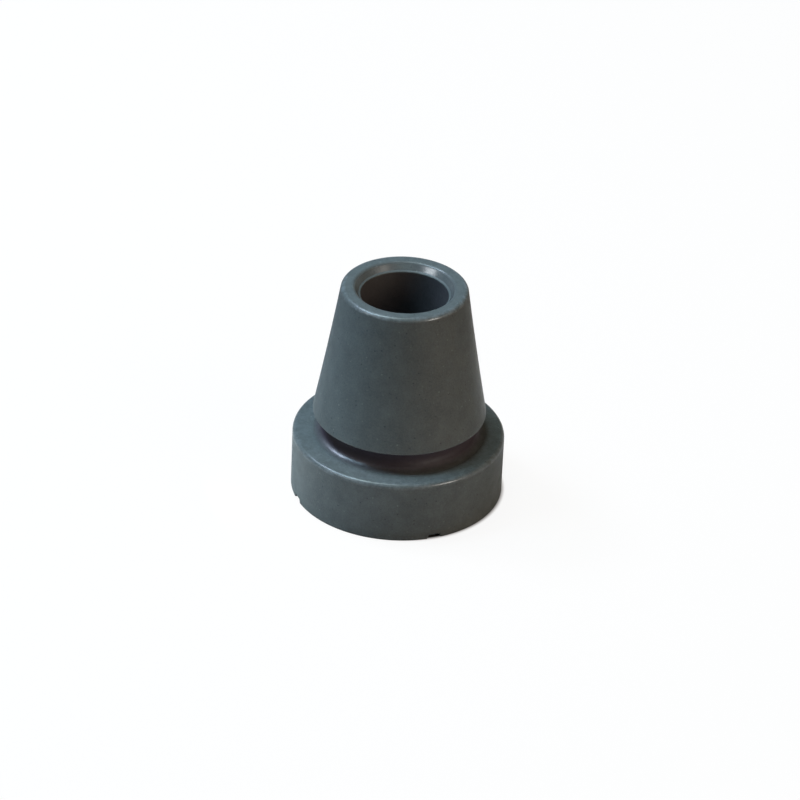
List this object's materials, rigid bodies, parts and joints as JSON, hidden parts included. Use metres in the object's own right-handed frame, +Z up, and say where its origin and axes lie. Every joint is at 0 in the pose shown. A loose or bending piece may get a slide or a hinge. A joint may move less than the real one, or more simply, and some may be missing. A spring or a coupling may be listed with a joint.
{
  "type": "rubber cane tip",
  "caption": "Tapered rubber tip for a walking cane, with a countersunk blind bore for the shaft, an undercut neck and a broad round foot with a grooved tread.",
  "frame": {"origin": "centre of the sole, on the surface that the tip stands on", "axes": "+Z up along the shaft's bore, out of its mouth; the tread's radial channels run along X and Y"},
  "size_m": [0.0462, 0.0462, 0.0499],
  "materials": {
    "rubber": "matte moulded rubber, dark slate grey"
  },
  "bodies": {
    "root": {"cane_tip": "rubber"}
  },
  "joints": []
}
